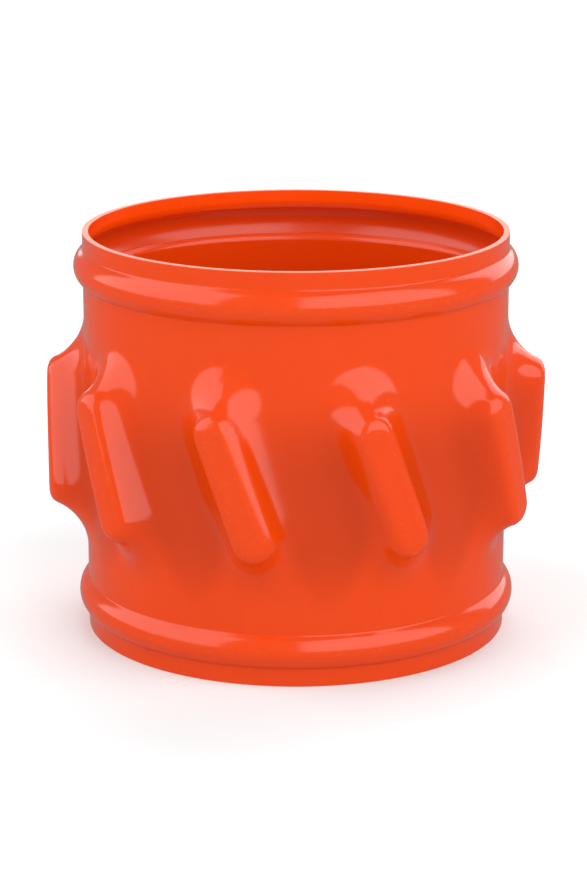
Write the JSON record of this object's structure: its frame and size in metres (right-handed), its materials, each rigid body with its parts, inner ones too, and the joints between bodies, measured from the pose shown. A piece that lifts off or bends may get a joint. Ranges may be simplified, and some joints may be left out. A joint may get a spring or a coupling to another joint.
{
  "type": "pipe coupling",
  "caption": "Straight double-socket pipe coupling: a thin formed sleeve with a round seal bead near each end and slanted hollow bulges around its middle.",
  "frame": {"origin": "centre of the lower rim, on the surface that the coupling stands on", "axes": "+Z along the bore, from the lower socket to the upper one; the first bulge stands 14.1 degrees to the left of -Y"},
  "size_m": [0.1964, 0.1936, 0.158],
  "materials": {
    "sleeve_plastic": "glossy orange-red",
    "seal_rubber": "smooth orange-red rubber, lightly lubricated",
    "hoop_steel": "bright spring steel"
  },
  "bodies": {
    "root": {"sleeve": "sleeve_plastic", "upper_seal": "seal_rubber", "upper_hoop": "hoop_steel", "lower_seal": "seal_rubber", "lower_hoop": "hoop_steel"}
  },
  "joints": []
}
